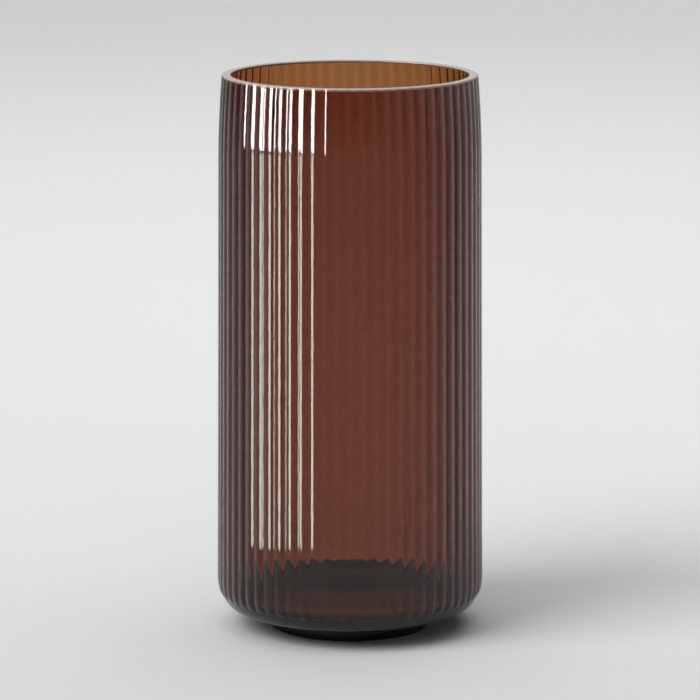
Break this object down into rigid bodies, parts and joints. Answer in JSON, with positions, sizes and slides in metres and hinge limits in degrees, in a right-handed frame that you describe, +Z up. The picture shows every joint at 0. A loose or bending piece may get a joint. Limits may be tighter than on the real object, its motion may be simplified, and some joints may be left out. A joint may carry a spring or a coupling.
{
  "type": "vase",
  "caption": "Tall cylindrical ribbed glass vase with a ground rim, a heavy smooth heel and a small foot; holds cut flowers and water.",
  "frame": {"origin": "centre of the foot, on the plane the vase stands on", "axes": "+Z up along the vase's axis of symmetry, -Y towards the viewer"},
  "size_m": [0.144, 0.1439, 0.3],
  "materials": {
    "amber_brown_glass": "fire-polished clear amber-brown glass, optic ribs outside, smooth bore",
    "ground_glass_rim": "cut, ground and polished flat, pale",
    "dark_glass_base": "fire-polished, near black through its thickness",
    "dark_glass_foot": "fire-polished side, ground underside, near black"
  },
  "bodies": {
    "root": {"foot_disc": "dark_glass_foot", "heavy_base": "dark_glass_base", "ribbed_body": "amber_brown_glass", "ground_rim": "ground_glass_rim"}
  },
  "joints": []
}
